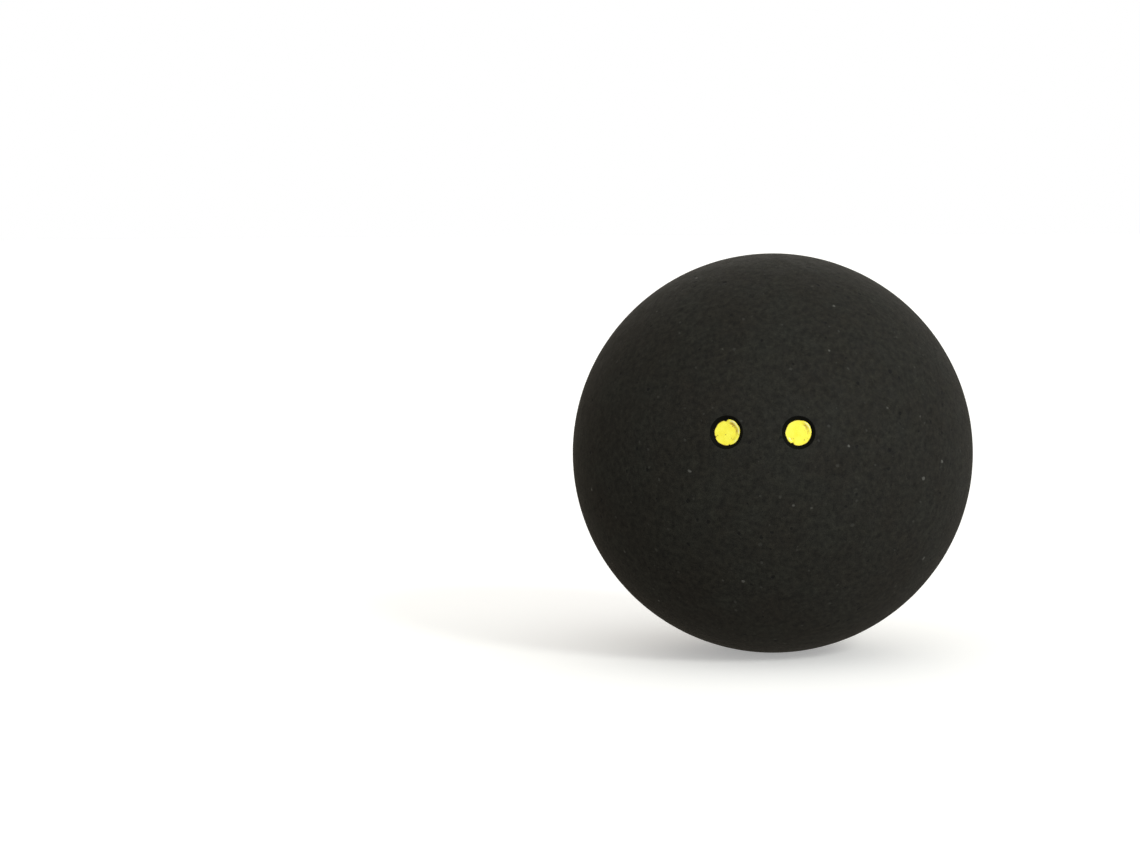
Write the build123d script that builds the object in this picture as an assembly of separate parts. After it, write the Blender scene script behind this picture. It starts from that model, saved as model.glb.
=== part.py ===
from build123d import *
import math
import os

# A squash ball: two moulded rubber half shells cemented edge to edge round an air space, with two painted
# speed dots sunk in the front half.
#
# Millimetres, +Z up, origin at the centre of the ball. The half shells meet in the XZ plane, and the front
# half is on the -Y side. The ball lies as it does on a floor at z = -BALL_DIAMETER / 2, with its dots turned
# a little upwards.

# Driving dimensions
BALL_DIAMETER = 40.0
WALL = 5.2

# The joint: a film of vulcanised cement, and the bead that it leaves in the chamfered inner edges
CEMENT_THICKNESS = 0.2
INNER_CHAMFER = 0.6

# The speed dots' places on the front half, as angles at the centre of the ball
DOT_SPACING_ANGLE = 19.6
DOT_LIFT_ANGLE = 10.6

# The moulded recess that holds each dot's paint
RECESS_DEPTH = 0.52
RECESS_FLOOR_DIAMETER = 1.96
RECESS_WALL_TAPER = 52.0
RECESS_FLOOR_ROUND = 0.15
RECESS_RIM_ROUND = 0.30

# The paint: poured in, so it lies thinnest in the middle and climbs the wall of its recess
PAINT_MIDDLE_THICKNESS = 0.16
PAINT_DISH_RADIUS = 14.0

# Worked out from the above
outer_radius = BALL_DIAMETER / 2
inner_radius = outer_radius - WALL
half_film = CEMENT_THICKNESS / 2
chamfer_foot = half_film + INNER_CHAMFER
recess_floor = outer_radius - RECESS_DEPTH
recess_floor_radius = RECESS_FLOOR_DIAMETER / 2


def beside_axis(sphere_radius, offset):
    """How far a sphere's surface stands from the Y axis, at this offset along it."""
    return math.sqrt(sphere_radius**2 - offset**2)


def turned(outline):
    """The solid that a closed outline in the XY plane sweeps about the Y axis."""
    return revolve(make_face(outline), Axis.Y)


def plain_front_half():
    """The half shell on the -Y side: a flat joint face with a chamfer along its inner edge."""
    outer_pole = (0, -outer_radius)
    outer_edge = (beside_axis(outer_radius, half_film), -half_film)
    face_inner_edge = (inner_radius + INNER_CHAMFER, -half_film)
    inner_edge = (beside_axis(inner_radius, chamfer_foot), -chamfer_foot)
    inner_pole = (0, -inner_radius)
    return turned([
        RadiusArc(outer_pole, outer_edge, -outer_radius),
        Line(outer_edge, face_inner_edge),
        Line(face_inner_edge, inner_edge),
        RadiusArc(inner_edge, inner_pole, inner_radius),
        Line(inner_pole, outer_pole),
    ])


def cement_ring():
    """The film between the joint faces, flush outside, with its bead in the two chamfers."""
    outside = beside_axis(outer_radius, half_film)
    film_foot = inner_radius + INNER_CHAMFER
    inside = beside_axis(inner_radius, chamfer_foot)
    return turned([
        RadiusArc((outside, half_film), (outside, -half_film), outer_radius),
        Line((outside, -half_film), (film_foot, -half_film)),
        Line((film_foot, -half_film), (inside, -chamfer_foot)),
        RadiusArc((inside, -chamfer_foot), (inside, chamfer_foot), -inner_radius),
        Line((inside, chamfer_foot), (film_foot, half_film)),
        Line((film_foot, half_film), (outside, half_film)),
    ])


def recess_space():
    """The space cut for one dot at the front pole: a flat floor, and a wall that opens outwards."""
    clear_of_ball = outer_radius + RECESS_DEPTH
    opening = (clear_of_ball - recess_floor) * math.tan(math.radians(RECESS_WALL_TAPER))
    section = make_face(Polyline(
        (0, -clear_of_ball),
        (0, -recess_floor),
        (recess_floor_radius, -recess_floor),
        (recess_floor_radius + opening, -clear_of_ball),
        close=True,
    ))
    floor_corner = section.vertices().sort_by_distance((recess_floor_radius, -recess_floor))[0]
    return revolve(fillet(floor_corner, RECESS_FLOOR_ROUND), Axis.Y)


def dish_over_paint():
    """The air above one dot's paint at the front pole: a ball that rests in the paint's dished surface."""
    paint_middle = recess_floor + PAINT_MIDDLE_THICKNESS
    return Pos(0, -(paint_middle + PAINT_DISH_RADIUS), 0) * Sphere(PAINT_DISH_RADIUS)


def is_outside_edge(edge):
    """Whether an edge lies on the ball's outer surface."""
    return math.isclose((edge @ 0.5).length, outer_radius, abs_tol=1e-3)


def main():
    recess = recess_space()
    paint = recess - dish_over_paint()
    front_half = plain_front_half()
    nodes = {
        "rear_half_shell": mirror(front_half, Plane.XZ),
        "seam_cement": cement_ring(),
    }
    for name, side in (("left_dot", -1), ("right_dot", 1)):
        place = Rot(X=-DOT_LIFT_ANGLE) * Rot(Z=side * DOT_SPACING_ANGLE / 2)
        mouth_centre = (place * Pos(0, -outer_radius, 0)).position
        front_half -= place * recess
        mouth = front_half.edges().filter_by(is_outside_edge).sort_by_distance(mouth_centre)[0]
        front_half = fillet(mouth, RECESS_RIM_ROUND)
        nodes[name] = place * paint
    nodes["front_half_shell"] = front_half

    os.makedirs("parts", exist_ok=True)
    for name, shape in nodes.items():
        export_step(shape, f"parts/{name}.step")
        print(f"{name}: {shape.volume:.3f} mm3")


main()
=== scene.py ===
"""A squash ball with two yellow speed dots, on a pale studio floor. Metres, in the CAD model's frame."""

import math

import bmesh
import bpy
import numpy as np
from mathutils import Matrix, Vector, noise
from mathutils.geometry import delaunay_2d_cdt


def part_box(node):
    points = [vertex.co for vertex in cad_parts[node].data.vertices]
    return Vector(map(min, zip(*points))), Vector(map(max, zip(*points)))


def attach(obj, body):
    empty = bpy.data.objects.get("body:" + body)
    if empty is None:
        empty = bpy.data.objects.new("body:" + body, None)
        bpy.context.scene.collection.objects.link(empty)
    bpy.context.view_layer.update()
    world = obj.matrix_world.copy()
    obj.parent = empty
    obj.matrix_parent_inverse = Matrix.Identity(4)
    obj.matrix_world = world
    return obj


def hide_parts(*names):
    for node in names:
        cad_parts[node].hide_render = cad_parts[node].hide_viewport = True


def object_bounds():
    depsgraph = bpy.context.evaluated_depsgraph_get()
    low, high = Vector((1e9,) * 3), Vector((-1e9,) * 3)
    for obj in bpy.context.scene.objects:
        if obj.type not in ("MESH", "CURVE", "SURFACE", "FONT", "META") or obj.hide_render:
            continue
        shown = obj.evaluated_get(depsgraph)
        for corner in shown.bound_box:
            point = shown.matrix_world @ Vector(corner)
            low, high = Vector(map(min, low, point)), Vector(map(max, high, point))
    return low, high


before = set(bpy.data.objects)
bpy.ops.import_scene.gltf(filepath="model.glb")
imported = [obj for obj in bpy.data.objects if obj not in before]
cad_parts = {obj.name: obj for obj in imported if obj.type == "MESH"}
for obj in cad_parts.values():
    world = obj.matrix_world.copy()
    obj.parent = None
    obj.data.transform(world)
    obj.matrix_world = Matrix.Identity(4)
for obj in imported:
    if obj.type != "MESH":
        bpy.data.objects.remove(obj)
cad_low, cad_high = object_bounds()

MM = 0.001

# The ball: two half shells, and the film of cement between them with its bead inside
BALL_RADIUS = (cad_high.x - cad_low.x) / 2
WALL = 5.2 * MM
INNER_RADIUS = BALL_RADIUS - WALL
HALF_FILM = 0.10 * MM
INNER_CHAMFER = 0.6 * MM
FILM_FOOT = INNER_RADIUS + INNER_CHAMFER
CHAMFER_FOOT = HALF_FILM + INNER_CHAMFER
SEAM_EDGE_ROUND = 0.05 * MM
CEMENT_SINK = 0.012 * MM
CEMENT_BEAD_RISE = 0.14 * MM
CEMENT_RIPPLE_LENGTH, CEMENT_RIPPLE_HEIGHT = 1.4 * MM, 0.010 * MM

# Each dot's recess. Its outline strays from a circle by a share of its radius, in waves of this length on a
# circle of radius 1.
RECESS_DEPTH = 0.52 * MM
RECESS_FLOOR_RADIUS = 0.98 * MM
RECESS_WALL_TAPER = math.radians(52)
RECESS_FLOOR_ROUND = 0.15 * MM
RECESS_RIM_ROUND = 0.30 * MM
RECESS_OUT_OF_ROUND, RECESS_WAVE = 0.012, 0.8

# The paint: how thick it lies, how its edge wanders up and down the wall, and how far it bites into it
PAINT_MIDDLE_THICKNESS = 0.16 * MM
PAINT_EDGE_HEIGHT = 0.185 * MM
PAINT_EDGE_WANDER, PAINT_EDGE_WAVE = 0.04 * MM, 0.5
PAINT_BITE = 0.02 * MM
PAINT_LEAST_THICKNESS = 0.3 * PAINT_BITE
PAINT_THIN_EDGE = 0.08 * MM
PAINT_RIPPLE_LENGTH, PAINT_RIPPLE_HEIGHT = 0.5 * MM, 0.008 * MM
PAINT_CURL_POWER = 7

# Where the paint ran up the wall it dried in a bead, and pulled thin in a fold beside it
BEAD_CLIMB = 0.05 * MM
BEAD_UNEVENNESS, BEAD_WAVE = 0.25, 0.22
BEAD_HEIGHT, BEAD_INSET, BEAD_WIDTH = 0.07 * MM, 0.13 * MM, 0.10 * MM
FOLD_DEPTH, FOLD_INSET, FOLD_WIDTH = 0.03 * MM, 0.36 * MM, 0.12 * MM

# Relief of the buffed rubber: how long its swells are, and how high
SWELL_LENGTH, SWELL_HEIGHT = 2.6 * MM, 0.006 * MM
GRAIN_LENGTH, GRAIN_HEIGHT = 0.8 * MM, 0.004 * MM

# Mesh densities. The jitter, and the margins that scattered points leave beside rows, are in spacings.
SKIN_SPACING = 0.26 * MM
INSIDE_SPACING = 0.7 * MM
SPACING_JITTER = 0.12
SKIN_MARGIN, INSIDE_MARGIN, RECESS_MARGIN = 0.6, 0.4, 0.5
SEAM_SEGMENTS = 480
DOT_SEGMENTS = 120
PAINT_ROWS = 40
PAINT_ROW_CROWDING = 1.7

# Rows of the mesh beside the joint, as offsets from the seam plane: on the skin, and on the bore
SKIN_ROWS = (0.42 * MM, 0.26 * MM)
SEAM_EDGE_ROWS = 4
BORE_ROWS = (0.95 * MM, 1.3 * MM)

# Noise: the step between the places that two seeds look at, and the range of most of a texture's values
SEED_STEP = (17.3, 5.1, 9.7)
NOISE_LOW, NOISE_HIGH = 0.3, 0.7

# The camera: the side it sees the ball from, and where the ball lies in its picture, in picture widths
VIEW_AZIMUTH = math.radians(2.65)
VIEW_ELEVATION = math.radians(5.0)
LENS_MM, SENSOR_MM = 100.0, 36.0
NEAREST_SEEN = 0.01
BALL_WIDTH_IN_PICTURE = 0.3497
BALL_RIGHT_OF_CENTRE = 0.1772
BALL_BELOW_CENTRE = 0.0223

# The studio: how far its floor reaches, and the two sides from which its dome is brighter
STUDIO_REACH = 2.2
BRIGHT_SIDE = (0.56, -0.71, 0.43)
BEHIND_BALL = (-0.30, 0.93, 0.08)

rng = np.random.default_rng(40)


# Meshes

def unit(vectors):
    return vectors / np.linalg.norm(vectors, axis=-1, keepdims=True)


def noise_at(points, wavelength, seed):
    """Smooth noise from about -1 to 1 at each point, with features about this long."""
    offset = Vector([seed * step for step in SEED_STEP])
    return np.array([noise.noise(Vector(p) / wavelength + offset) for p in points])


def arc(centre, radius, start, end, count):
    """Points of an arc in a (distance from axis, height) plane, both ends included."""
    turn = np.linspace(start, end, count)
    return [(centre[0] + radius * math.cos(a), centre[1] + radius * math.sin(a)) for a in turn]


def on_sphere(radius, offset):
    """(distance from the Y axis, offset along it) of a sphere's surface at this offset."""
    return math.sqrt(radius**2 - offset**2), offset


def even_bearings(segments):
    return np.linspace(0, 2 * math.pi, segments, endpoint=False)


def ring(radius, offset, segments):
    """Points round the Y axis. The radius, and the offset along the axis, may differ from point to point."""
    turn = even_bearings(segments)
    return np.stack([radius * np.cos(turn), np.full(segments, offset), radius * np.sin(turn)], axis=1)


def strips(first, rings, segments, closed=False):
    """Quads that join each of these rings of points to the next, and the last to the first if closed."""
    faces = []
    for row in range(rings if closed else rings - 1):
        low = first + row * segments
        high = first + (row + 1) % rings * segments
        for i in range(segments):
            j = (i + 1) % segments
            faces.append((low + i, high + i, high + j, low + j))
    return faces


def even_cap(spacing, radius, rim_angle):
    """Points spread evenly over the part of a sphere within rim_angle of -Y, a little jittered."""
    cap_height = 1 - math.cos(rim_angle)
    area_of_a_point = spacing**2 * math.sqrt(3) / 2
    count = int(2 * math.pi * radius**2 * cap_height / area_of_a_point)
    golden_share = 3 - math.sqrt(5)
    i = np.arange(count) + 0.5
    along = 1 - cap_height * i / count
    beside = np.sqrt(1 - along**2)
    turn = i * math.pi * golden_share
    directions = np.stack([beside * np.cos(turn), -along, beside * np.sin(turn)], axis=1)
    return radius * unit(directions + rng.normal(0, SPACING_JITTER * spacing / radius, directions.shape))


def span(points, numbers):
    """Triangles over points that lie round -Y, each in a direction of its own, by their numbers."""
    d = unit(points)
    flat = 2 * d[:, [0, 2]] / (1 - d[:, [1]])
    closest = 1e-9
    made = delaunay_2d_cdt([Vector(p) for p in flat], [], [], 0, closest)
    source = [numbers[origin[0]] for origin in made[3]]
    return [tuple(source[v] for v in face) for face in made[2]]


def new_piece(name, points, faces, material, replaced, marks=None):
    """A closed piece that stands for a CAD node. marks are named numbers, one for each point."""
    mesh = bpy.data.meshes.new(name)
    mesh.from_pydata([tuple(p) for p in points], [], faces)
    for key, numbers in (marks or {}).items():
        mesh.attributes.new(key, "FLOAT", "POINT").data.foreach_set("value", numbers)
    work = bmesh.new()
    work.from_mesh(mesh)
    bmesh.ops.recalc_face_normals(work, faces=work.faces)
    work.to_mesh(mesh)
    work.free()
    mesh.polygons.foreach_set("use_smooth", [True] * len(mesh.polygons))
    mesh.materials.append(material)
    piece = bpy.data.objects.new(name, mesh)
    bpy.context.scene.collection.objects.link(piece)
    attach(piece, "root")
    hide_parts(replaced)
    return piece


def repaint(piece, material, chosen):
    """Gives a second material to the faces whose corners are all chosen. chosen has a flag for each point."""
    piece.data.materials.append(material)
    for face in piece.data.polygons:
        if all(chosen[corner] for corner in face.vertices):
            face.material_index = 1


# The dots' recesses, each round its own axis

def dot_axes():
    """For each dot, the turn that takes -Y to the dot's direction from the ball's centre."""
    turns = {}
    for name in ("left_dot", "right_dot"):
        low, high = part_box(name)
        turns[name] = Vector((0, -1, 0)).rotation_difference((low + high) / 2).to_matrix()
    return turns


def recess_profile():
    """(distance from axis, height over the ball's centre) from the recess's middle out to the plain ball,
    and how many of these lie inside the line round the rim where the buffing starts. Inside that line the
    recess takes a darker skin, partly the moulded rubber's own colour and partly painted shade."""
    floor = BALL_RADIUS - RECESS_DEPTH
    slope = Vector((math.sin(RECESS_WALL_TAPER), math.cos(RECESS_WALL_TAPER)))
    into_rubber = Vector((slope.y, -slope.x))
    corner = Vector((RECESS_FLOOR_RADIUS, floor))
    turn = math.pi / 2 - RECESS_WALL_TAPER
    tangent = RECESS_FLOOR_ROUND * math.tan(turn / 2)
    floor_round = (corner.x - tangent, floor + RECESS_FLOOR_ROUND)

    start = corner + RECESS_RIM_ROUND * into_rubber
    reach = BALL_RADIUS - RECESS_RIM_ROUND
    along = start.dot(slope)
    rise = -along + math.sqrt(along**2 - start.length_squared + reach**2)
    rim_round = start + rise * slope
    wall_top = corner + rise * slope
    wall_foot = corner + tangent * slope

    profile = [(corner.x * share, floor) for share in (0.2, 0.4, 0.6, 0.75)]
    profile += arc(floor_round, RECESS_FLOOR_ROUND, -math.pi / 2, turn - math.pi / 2, 5)
    profile += [tuple(wall_foot.lerp(wall_top, share)) for share in (0.25, 0.5, 0.75)]
    skyward = math.atan2(rim_round.y, rim_round.x)
    profile += arc(rim_round, RECESS_RIM_ROUND, math.pi - RECESS_WALL_TAPER, skyward, 9)
    # The recess takes the near-black moulded skin, partly painted shade, up to a few rows short of the rim's
    # end.
    buffed_rim_rows = 3
    moulded_and_shaded_rows = len(profile) - buffed_rim_rows
    rim = profile[-1][0]
    for beyond in (0.06, 0.14, 0.25, 0.40, 0.58):
        distance = rim + beyond * MM
        profile.append((distance, math.sqrt(BALL_RADIUS**2 - distance**2)))
    return profile, moulded_and_shaded_rows


def round_dot(profile, wobble):
    """A profile swept round -Y, its distances from the axis varied by wobble, with its middle point first."""
    middle = np.array([[0, -profile[0][1], 0]])
    rings = [ring(distance * wobble, -height, DOT_SEGMENTS) for distance, height in profile]
    return np.concatenate([middle, *rings])


def unit_circle(bearings):
    """A point at each bearing on a circle of radius 1. Noise read there meets itself all the way round."""
    return np.stack([np.cos(bearings), np.sin(bearings), np.zeros(len(bearings))], axis=1)


def dot_wobble(seed):
    """A number near 1 for each step round a dot, for an outline that isn't a perfect circle."""
    around = unit_circle(even_bearings(DOT_SEGMENTS))
    return 1 + RECESS_OUT_OF_ROUND * noise_at(around, RECESS_WAVE, seed)


# The half shells and their cement

def half_section():
    """(distance from the Y axis, offset from the seam plane) round the joint, from outside to inside."""
    round_centre = (BALL_RADIUS - SEAM_EDGE_ROUND, HALF_FILM + SEAM_EDGE_ROUND)
    bore_edge = on_sphere(INNER_RADIUS, CHAMFER_FOOT)[0]
    section = [on_sphere(BALL_RADIUS, offset) for offset in SKIN_ROWS]
    section += arc(round_centre, SEAM_EDGE_ROUND, 0, -math.pi / 2, SEAM_EDGE_ROWS)
    for share in (0.15, 0.3, 0.5, 0.75, 1.0):
        section.append((round_centre[0] + share * (FILM_FOOT - round_centre[0]), HALF_FILM))
    for share in (0.5, 1.0):
        section.append((FILM_FOOT + share * (bore_edge - FILM_FOOT), HALF_FILM + share * INNER_CHAMFER))
    section += [on_sphere(INNER_RADIUS, offset) for offset in BORE_ROWS]
    return section


def roughened(points):
    """Points of the ball's skin, moved in and out by the relief of the buffed rubber."""
    swell = SWELL_HEIGHT * noise_at(points, SWELL_LENGTH, 1)
    grain = GRAIN_HEIGHT * noise_at(points, GRAIN_LENGTH, 2)
    return points + unit(points) * (swell + grain)[:, None]


def half_shell(name, cad_node, buffed, moulded_and_shade, front):
    """One half. It is buffed outside, and as it was moulded in its recesses, its bore and its joint. In the
    recesses the darker moulded skin is partly painted shade.
    """
    section = half_section()
    joint = np.concatenate([ring(x, -y, SEAM_SEGMENTS) for x, y in section])
    outer_rim = math.acos(section[0][1] / BALL_RADIUS)
    inner_rim = math.acos(section[-1][1] / INNER_RADIUS)
    skin = even_cap(SKIN_SPACING, BALL_RADIUS, outer_rim - SKIN_MARGIN * SKIN_SPACING / BALL_RADIUS)
    inside = even_cap(INSIDE_SPACING, INNER_RADIUS, inner_rim - INSIDE_MARGIN * INSIDE_SPACING / INNER_RADIUS)

    recesses, in_recess = [], []
    if front:
        profile, moulded_and_shaded_rows = recess_profile()
        clear = math.cos((profile[-1][0] + RECESS_MARGIN * SKIN_SPACING) / BALL_RADIUS)
        for seed, turn in enumerate(dot_axes().values()):
            axis = np.array(turn @ Vector((0, -1, 0)))
            skin = skin[unit(skin) @ axis < clear]
            recess = round_dot(profile, dot_wobble(seed)) @ np.array(turn).T
            recesses.append(recess)
            # The recess up to its rim gets the darker moulded skin, which is partly painted shade.
            in_recess.append(np.arange(len(recess)) <= moulded_and_shaded_rows * DOT_SEGMENTS)

    skin_points = len(SKIN_ROWS) * SEAM_SEGMENTS
    joint[:skin_points] = roughened(joint[:skin_points])
    points = np.concatenate([joint, roughened(skin), inside, *recesses])
    joint_face = (len(SKIN_ROWS) + SEAM_EDGE_ROWS - 1) * SEAM_SEGMENTS
    in_joint = np.arange(len(joint)) >= joint_face
    moulded_and_shaded = np.concatenate([in_joint, np.zeros(len(skin), bool), np.ones(len(inside), bool), *in_recess])
    faces = strips(0, len(section), SEAM_SEGMENTS)

    skin_start = len(joint)
    inside_start = skin_start + len(skin)
    recess_start = inside_start + len(inside)
    outer = [*range(SEAM_SEGMENTS), *range(skin_start, inside_start), *range(recess_start, len(points))]
    inner = [*range(skin_start - SEAM_SEGMENTS, skin_start), *range(inside_start, recess_start)]
    faces += span(points[outer], outer)
    faces += span(points[inner], inner)
    if not front:
        points = points * (1, -1, 1)
    piece = new_piece(name, points, faces, buffed, cad_node)
    repaint(piece, moulded_and_shade, moulded_and_shaded)


def seam_cement(name, material):
    """The film, a hair below the rubber outside, and the bead that bulges a little inside."""
    outside = BALL_RADIUS - CEMENT_SINK
    bead = on_sphere(INNER_RADIUS, CHAMFER_FOOT)[0]
    # From the film's crown, rounded off beside the rubber, down its side to the bead's top
    half = [
        (outside, 0.0),
        (outside - 0.002 * MM, 0.06 * MM),
        (outside - 0.012 * MM, 0.09 * MM),
        (outside - 0.035 * MM, HALF_FILM),
        (BALL_RADIUS - 1.5 * MM, HALF_FILM),
        (FILM_FOOT, HALF_FILM),
        (bead, CHAMFER_FOOT),
        (bead - 0.10 * MM, 0.4 * MM),
        (bead - CEMENT_BEAD_RISE, 0.0),
    ]
    loop = half + [(x, -y) for x, y in reversed(half[1:-1])]
    points = np.concatenate([ring(x, y, SEAM_SEGMENTS) for x, y in loop])
    ripple = CEMENT_RIPPLE_HEIGHT * noise_at(points, CEMENT_RIPPLE_LENGTH, 3)
    points += unit(points) * ripple[:, None]
    faces = strips(0, len(loop), SEAM_SEGMENTS, closed=True)
    new_piece(name, points, faces, material, "seam_cement")


# The paint

def lobe(bearings, centre, width):
    """1 at one bearing round a dot, falling to 0 away from it."""
    away = (bearings - centre + math.pi) % (2 * math.pi) - math.pi
    return np.exp(-((away / width) ** 2))


def ridge(distance, middle, width):
    """1 at one distance, falling to 0 away from it."""
    return np.exp(-(((distance - middle) / width) ** 2))


def paint_edge(bearings, around, seed, gaps, beads):
    """Round a dot: how high the paint's edge stands, how wide its thin margin is, and how strong its bead.
    The bead's strength also sets a painted highlight on the bead and painted shade in the fold beside it.
    """
    edge_height = PAINT_EDGE_HEIGHT + PAINT_EDGE_WANDER * noise_at(around, PAINT_EDGE_WAVE, seed + 5)
    thin_edge = np.full(DOT_SEGMENTS, PAINT_THIN_EDGE)
    for bearing, width, depth in gaps:
        missed = lobe(bearings, math.radians(bearing), width)
        edge_height -= depth * missed
        thin_edge += depth * missed
    bead = sum(strength * lobe(bearings, math.radians(bearing), width) for bearing, width, strength in beads)
    edge_height += BEAD_CLIMB * bead
    bead = bead * (1 + BEAD_UNEVENNESS * noise_at(around, BEAD_WAVE, seed + 7))
    return edge_height, thin_edge, bead


def paint_dot(name, cad_node, turn, seed, gaps, beads, material):
    """The paint in one recess. gaps are (bearing, width, depth) where it missed the edge, and beads are
    (bearing, width, strength) where it ran up the wall. Bearings are in degrees, and start at the right and
    go up and round. Widths are in radians."""
    floor = BALL_RADIUS - RECESS_DEPTH
    bearings = even_bearings(DOT_SEGMENTS)
    around = unit_circle(bearings)
    edge_height, thin_edge, bead = paint_edge(bearings, around, seed, gaps, beads)
    edge_radius = RECESS_FLOOR_RADIUS + edge_height * math.tan(RECESS_WALL_TAPER)

    top, bottom, thin, fold_shade, bead_highlight = [], [], [], [], []
    for row in range(1, PAINT_ROWS + 1):
        share = 1 - (1 - row / PAINT_ROWS) ** PAINT_ROW_CROWDING
        distance = share * edge_radius
        inset = edge_radius - distance
        # Crest and fold shape the paint, and also mark a painted highlight and painted shade in its colour.
        crest_and_highlight = bead * ridge(inset, BEAD_INSET, BEAD_WIDTH)
        fold_and_shade = bead * ridge(inset, FOLD_INSET, FOLD_WIDTH)
        thin.append(np.clip(1 - inset / thin_edge, 0, 1) * np.clip(1 - bead, 0, 1))
        fold_shade.append(fold_and_shade)
        bead_highlight.append(crest_and_highlight)
        curl = share**PAINT_CURL_POWER
        surface = PAINT_MIDDLE_THICKNESS + (edge_height - PAINT_MIDDLE_THICKNESS) * curl
        surface += BEAD_HEIGHT * crest_and_highlight - FOLD_DEPTH * fold_and_shade
        ripple = PAINT_RIPPLE_HEIGHT * noise_at(around * distance[:, None], PAINT_RIPPLE_LENGTH, seed + 9)
        wall = np.maximum(0, (distance - RECESS_FLOOR_RADIUS) / math.tan(RECESS_WALL_TAPER))
        height = floor + surface + ripple * (1 - share**4)
        under = floor + wall - PAINT_BITE
        top.append((distance, np.maximum(height, under + PAINT_LEAST_THICKNESS)))
        bottom.append((distance, under))
    middle = np.array([[0, -(floor + PAINT_MIDDLE_THICKNESS), 0], [0, -(floor - PAINT_BITE), 0]])
    layers = [ring(distance, -height, DOT_SEGMENTS) for distance, height in top + bottom[::-1]]
    points = np.concatenate([middle, *layers]) @ np.array(turn).T

    faces = strips(len(middle), len(layers), DOT_SEGMENTS)
    first = len(middle)
    last = first + (len(layers) - 1) * DOT_SEGMENTS
    for i in range(DOT_SEGMENTS):
        j = (i + 1) % DOT_SEGMENTS
        faces.append((0, first + i, first + j))
        faces.append((1, last + j, last + i))
    # The fold's mark carries painted shade, and the bead's mark a painted highlight, into the paint's colour.
    marks = {
        key: np.concatenate([[0, 0], *rows_of, *rows_of[::-1]])
        for key, rows_of in (("thin", thin), ("fold_and_shade", fold_shade), ("bead", bead_highlight))
    }
    new_piece(name, points, faces, material, cad_node, marks)


# Materials

def new_material(name):
    material = bpy.data.materials.new(name)
    material.use_nodes = True
    tree = material.node_tree
    return material, tree, tree.nodes["Principled BSDF"]


def node(tree, kind, settings=None, **inputs):
    """A shader node with these properties and inputs, where an input is a value or another's socket. An
    input goes by its name, or by i and its number."""
    made = tree.nodes.new(kind)
    for key, value in (settings or {}).items():
        setattr(made, key, value)
    for key, value in inputs.items():
        socket = made.inputs[int(key[1:])] if key[0] == "i" and key[1:].isdigit() else made.inputs[key]
        if isinstance(value, bpy.types.NodeSocket):
            tree.links.new(value, socket)
        else:
            socket.default_value = value
    return made


def place(tree):
    return node(tree, "ShaderNodeTexCoord").outputs["Object"]


def height_of(tree, coordinates):
    return node(tree, "ShaderNodeSeparateXYZ", None, Vector=coordinates).outputs["Z"]


def noise_node(tree, coordinates, feature, detail=2.0, roughness=0.5):
    return node(
        tree, "ShaderNodeTexNoise", None,
        Vector=coordinates, Scale=1 / feature, Detail=detail, Roughness=roughness,
    ).outputs["Fac"]


def ramp(tree, value, low, high, to_low=0.0, to_high=1.0, smooth=False):
    kind = "SMOOTHSTEP" if smooth else "LINEAR"
    made = node(tree, "ShaderNodeMapRange", {"interpolation_type": kind}, Value=value)
    for key, number in (("From Min", low), ("From Max", high), ("To Min", to_low), ("To Max", to_high)):
        made.inputs[key].default_value = number
    return made.outputs["Result"]


def vary(tree, pattern, low=0.0, high=1.0):
    """A noise's usual range, stretched to run from low to high."""
    return ramp(tree, pattern, NOISE_LOW, NOISE_HIGH, low, high)


def mark(tree, name):
    """The numbers that a piece's mesh carries under this name."""
    return node(tree, "ShaderNodeAttribute", {"attribute_name": name}).outputs["Fac"]


def maths(tree, operation, a, b):
    return node(tree, "ShaderNodeMath", {"operation": operation}, i0=a, i1=b).outputs[0]


def times(tree, a, b):
    return maths(tree, "MULTIPLY", a, b)


def blend_colours(tree, factor, first, second, mode="MIX"):
    return node(
        tree, "ShaderNodeMix", {"data_type": "RGBA", "blend_type": mode},
        i0=factor, i6=first, i7=second,
    ).outputs[2]


def specks(tree, coordinates, cell, largest, share):
    """Small irregular flecks, one in this share of cells: 1 in a fleck and 0 elsewhere."""
    wobble_length, wobble_reach = 0.35 * MM, 0.25 * MM
    soft_edge = 0.4 * largest / cell
    wobble = node(tree, "ShaderNodeTexNoise", None, Vector=coordinates, Scale=1 / wobble_length, Detail=1.0)
    shifted = node(
        tree, "ShaderNodeVectorMath", {"operation": "MULTIPLY_ADD"},
        i0=wobble.outputs["Color"], i1=(wobble_reach,) * 3, i2=coordinates,
    ).outputs[0]
    cells = node(tree, "ShaderNodeTexVoronoi", None, Vector=shifted, Scale=1 / cell)
    chance = node(tree, "ShaderNodeSeparateColor", None, Color=cells.outputs["Color"])
    size = ramp(tree, chance.outputs[0], 1 - share, 1.0, 0.0, largest / cell)
    inside = maths(tree, "SUBTRACT", size, cells.outputs["Distance"])
    return ramp(tree, inside, 0.0, soft_edge, smooth=True)


def dress(tree, shader, colour, roughness, specular, relief, depth, strength=1.0):
    """Wires up a surface: its colour, its gloss, and its fine relief, which is this deep."""
    tree.links.new(colour, shader.inputs["Base Color"])
    tree.links.new(roughness, shader.inputs["Roughness"])
    shader.inputs["Specular IOR Level"].default_value = specular
    bump = node(tree, "ShaderNodeBump", None, Height=relief, Distance=depth, Strength=strength)
    tree.links.new(bump.outputs[0], shader.inputs["Normal"])


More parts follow.
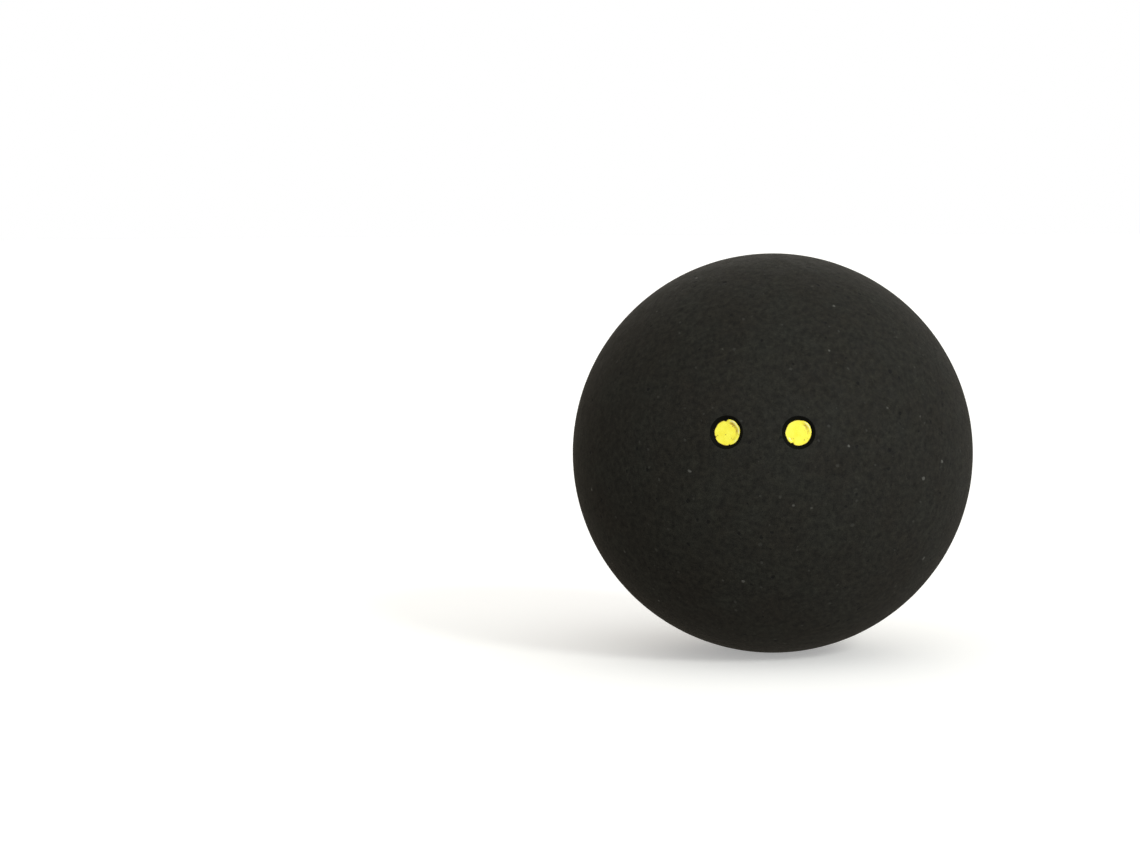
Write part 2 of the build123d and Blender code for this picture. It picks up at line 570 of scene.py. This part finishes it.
def buffed_rubber():
    """The ball's skin: mottled, grainy and pored, with dark pits and pale dust, thicker towards the top."""
    material, tree, shader = new_material("buffed_rubber")
    at = place(tree)
    mottle = noise_node(tree, at, 5 * MM, 4.0, 0.6)
    blotch = noise_node(tree, at, 1.4 * MM, 3.0, 0.6)
    grain = noise_node(tree, at, 0.52 * MM, 4.0, 0.62)
    tooth = noise_node(tree, at, 0.06 * MM, 3.0, 0.7)
    cells = node(tree, "ShaderNodeTexVoronoi", None, Vector=at, Scale=1 / (0.11 * MM)).outputs["Distance"]
    pores = ramp(tree, cells, 0.10, 0.34, smooth=True)

    settled = times(tree, height_of(tree, at), 0.1 / BALL_RADIUS)
    drift = ramp(tree, maths(tree, "ADD", settled, noise_node(tree, at, 6 * MM)), 0.46, 0.56, 0.2, 1.0)
    dust = times(tree, drift, specks(tree, at, 1.7 * MM, 0.25 * MM, 0.7))
    fine_dust = specks(tree, at, 0.9 * MM, 0.20 * MM, 0.6)
    pits = specks(tree, at, 1.0 * MM, 0.26 * MM, 0.6)

    shade = times(tree, vary(tree, blotch, 0.85, 1.15), vary(tree, grain, 0.45, 1.55))
    shade = times(tree, shade, vary(tree, tooth, 0.45, 1.55))
    shade = times(tree, shade, ramp(tree, pores, 0.0, 1.0, 0.45, 1.08))
    tint = node(tree, "ShaderNodeCombineColor", None, i0=shade, i1=shade, i2=shade).outputs[0]
    colour = blend_colours(
        tree, ramp(tree, mottle, 0.35, 0.65),
        (0.0104, 0.0095, 0.0069, 1), (0.0115, 0.0117, 0.0089, 1),
    )
    colour = blend_colours(tree, 1.0, colour, tint, "MULTIPLY")
    colour = blend_colours(tree, times(tree, pits, 0.85), colour, (0.002, 0.002, 0.002, 1))
    colour = blend_colours(tree, times(tree, fine_dust, 0.5), colour, (0.042, 0.042, 0.037, 1))
    colour = blend_colours(tree, dust, colour, (0.075, 0.075, 0.067, 1))

    relief = maths(tree, "ADD", grain, times(tree, maths(tree, "ADD", tooth, pores), 0.3))
    relief = maths(tree, "ADD", relief, maths(tree, "SUBTRACT", times(tree, dust, 0.6), pits))
    dress(tree, shader, colour, vary(tree, blotch, 0.70, 0.84), 0.18, relief, 0.035 * MM)
    return material


def moulded_rubber_and_shade():
    """The deep black skin that the mould left where the buffing wheel doesn't reach. In the dots' recesses
    its darkness is partly painted shade.
    """
    material, tree, shader = new_material("moulded_rubber_and_shade")
    bloom = noise_node(tree, place(tree), 0.45 * MM, 3.0, 0.6)
    # Near-black: the moulded skin's own colour, and in the recesses partly painted shade.
    colour = blend_colours(tree, vary(tree, bloom), (0.0014, 0.0014, 0.0012, 1), (0.0032, 0.0031, 0.0027, 1))
    dress(tree, shader, colour, vary(tree, bloom, 0.50, 0.70), 0.05, bloom, 0.015 * MM, 0.6)
    return material


def rubber_cement():
    """The cured cement, darker than the rubber and rippled."""
    material, tree, shader = new_material("rubber_cement")
    ripple = noise_node(tree, place(tree), 0.9 * MM, 4.0, 0.65)
    colour = blend_colours(tree, vary(tree, ripple), (0.0042, 0.0041, 0.0035, 1), (0.0085, 0.0083, 0.0070, 1))
    dress(tree, shader, colour, vary(tree, ripple, 0.60, 0.75), 0.15, ripple, 0.02 * MM, 0.6)
    return material


def yellow_paint():
    """Glossy paint: cloudy and pitted, brown where it is thin, orange-brown in its fold as painted shade, and
    pale on its bead as a painted highlight.
    """
    material, tree, shader = new_material("yellow_paint")
    at = place(tree)
    cloud = noise_node(tree, at, 0.7 * MM, 3.0, 0.6)
    pores = noise_node(tree, at, 0.16 * MM, 3.0, 0.6)
    pits = specks(tree, at, 0.34 * MM, 0.12 * MM, 0.9)
    colour = blend_colours(
        tree, ramp(tree, cloud, 0.35, 0.65),
        (0.92, 0.82, 0.035, 1), (0.96, 0.91, 0.070, 1),
    )
    colour = blend_colours(tree, times(tree, pits, 0.7), colour, (0.34, 0.26, 0.02, 1))
    uneven = vary(tree, pores, -0.2, 0.2)
    for name, low, high, marked_colour in (
        # Orange-brown in the fold: painted shade.
        ("fold_and_shade", 0.1, 1.1, (0.40, 0.20, 0.010, 1)),
        ("thin", 0.2, 1.0, (0.22, 0.10, 0.008, 1)),
        # Pale cream on the bead: a painted highlight.
        ("bead", 0.3, 0.8, (0.88, 0.80, 0.34, 1)),
    ):
        amount = ramp(tree, maths(tree, "ADD", mark(tree, name), uneven), low, high, smooth=True)
        colour = blend_colours(tree, amount, colour, marked_colour)
    relief = maths(tree, "SUBTRACT", pores, pits)
    dress(tree, shader, colour, vary(tree, pores, 0.22, 0.36), 0.5, relief, 0.012 * MM, 0.7)
    return material


# The studio

def studio_floor():
    """A pale floor that runs out of sight, and a white surround beyond it."""
    material, tree, shader = new_material("studio_floor")
    pale = noise_node(tree, place(tree), 30 * MM)
    colour = blend_colours(tree, pale, (0.82, 0.82, 0.81, 1), (0.84, 0.84, 0.83, 1))
    tree.links.new(colour, shader.inputs["Base Color"])
    shader.inputs["Roughness"].default_value = 0.9
    shader.inputs["Specular IOR Level"].default_value = 0.0
    shader.inputs["Emission Color"].default_value = (1, 1, 1, 1)
    shader.inputs["Emission Strength"].default_value = 0.33
    below_ball = (0, 0, cad_low.z)
    bpy.ops.mesh.primitive_circle_add(vertices=96, radius=STUDIO_REACH, fill_type="NGON", location=below_ball)
    floor = bpy.context.object
    floor.name = "studio_floor"
    floor.data.materials.append(material)

    surround_material = bpy.data.materials.new("studio_surround")
    surround_material.use_nodes = True
    surround_tree = surround_material.node_tree
    surround_tree.nodes.clear()
    glow = node(surround_tree, "ShaderNodeEmission", None, Color=(1, 1, 1, 1), Strength=1.0)
    output = surround_tree.nodes.new("ShaderNodeOutputMaterial")
    surround_tree.links.new(glow.outputs[0], output.inputs["Surface"])
    bpy.ops.mesh.primitive_uv_sphere_add(segments=64, ring_count=32, radius=STUDIO_REACH, location=below_ball)
    surround = bpy.context.object
    surround.name = "studio_surround"
    surround.data.materials.append(surround_material)
    for stage in (floor, surround):
        stage.visible_diffuse = False
        stage.visible_glossy = False
    surround.visible_shadow = False


def nearness(tree, direction, towards):
    """1 where a direction of the dome points this way, and -1 where it points the other way."""
    return node(
        tree, "ShaderNodeVectorMath", {"operation": "DOT_PRODUCT"},
        i0=direction, i1=tuple(Vector(towards).normalized()),
    ).outputs["Value"]


def studio_light():
    """A soft dome, brighter on the ball's upper right and behind it, and two broad suns: a key on the bright
    side, and a weaker one above and behind."""
    world = bpy.data.worlds.new("studio_dome")
    bpy.context.scene.world = world
    world.use_nodes = True
    tree = world.node_tree
    background = tree.nodes["Background"]
    direction = node(tree, "ShaderNodeTexCoord").outputs["Generated"]
    facing = nearness(tree, direction, BRIGHT_SIDE)
    behind = nearness(tree, direction, BEHIND_BALL)
    from_front = ramp(tree, facing, -1.0, 1.0, 0.13, 1.12)
    from_behind = ramp(tree, behind, 0.5, 1.0, 0.0, 0.39, smooth=True)
    tree.links.new(maths(tree, "ADD", from_front, from_behind), background.inputs["Strength"])
    colour = blend_colours(tree, ramp(tree, facing, -1.0, 0.4), (1.0, 0.87, 0.70, 1), (1.0, 1.0, 0.98, 1))
    tree.links.new(colour, background.inputs["Color"])

    for name, towards, energy, width, tint in (
        ("key", (0.60, -0.62, 0.52), 1.10, 14, (0.97, 1.0, 0.96)),
        ("top_light", (-0.10, 0.85, 0.52), 0.34, 40, (1.0, 0.97, 0.91)),
    ):
        sun = bpy.data.lights.new(name, "SUN")
        sun.color = tint
        sun.energy = energy
        sun.angle = math.radians(width)
        lamp = bpy.data.objects.new(name, sun)
        lamp.rotation_mode = "QUATERNION"
        lamp.rotation_quaternion = Vector(towards).to_track_quat("Z", "Y")
        bpy.context.scene.collection.objects.link(lamp)


def camera():
    """Stands off the ball so that it fills its share of the picture, and turns until it lies in its place."""
    half_width = BALL_WIDTH_IN_PICTURE / 2 * SENSOR_MM / LENS_MM
    distance = BALL_RADIUS / math.sin(math.atan(half_width))
    towards = Vector((
        math.sin(VIEW_AZIMUTH) * math.cos(VIEW_ELEVATION),
        -math.cos(VIEW_AZIMUTH) * math.cos(VIEW_ELEVATION),
        math.sin(VIEW_ELEVATION),
    ))
    look = towards.to_track_quat("Z", "Y").to_matrix()
    pan = Matrix.Rotation(math.atan(BALL_RIGHT_OF_CENTRE * SENSOR_MM / LENS_MM), 3, "Y")
    tilt = Matrix.Rotation(math.atan(BALL_BELOW_CENTRE * SENSOR_MM / LENS_MM), 3, "X")
    data = bpy.data.cameras.new("camera")
    data.lens = LENS_MM
    data.sensor_width = SENSOR_MM
    data.clip_start = NEAREST_SEEN
    made = bpy.data.objects.new("camera", data)
    made.matrix_world = Matrix.Translation(towards * distance) @ (look @ pan @ tilt).to_4x4()
    bpy.context.scene.collection.objects.link(made)
    bpy.context.scene.camera = made
    bpy.context.scene.view_settings.view_transform = "Standard"


camera()
studio_floor()
studio_light()

buffed = buffed_rubber()
moulded_and_shade = moulded_rubber_and_shade()
paint = yellow_paint()
half_shell("front_rubber", "front_half_shell", buffed, moulded_and_shade, front=True)
half_shell("rear_rubber", "rear_half_shell", buffed, moulded_and_shade, front=False)
seam_cement("cement_film", rubber_cement())
turns = dot_axes()
paint_dot(
    "left_paint", "left_dot", turns["left_dot"], 1,
    gaps=[(98, 0.13, 0.09 * MM), (200, 0.05, 0.07 * MM), (-78, 0.05, 0.05 * MM)],
    beads=[(60, 0.42, 1.0), (12, 0.55, 0.75), (-45, 0.30, 0.6)], material=paint,
)
paint_dot(
    "right_paint", "right_dot", turns["right_dot"], 2,
    gaps=[(243, 0.10, 0.10 * MM)],
    beads=[(42, 0.40, 0.9), (2, 0.30, 0.5), (220, 0.20, 0.5)], material=paint,
)
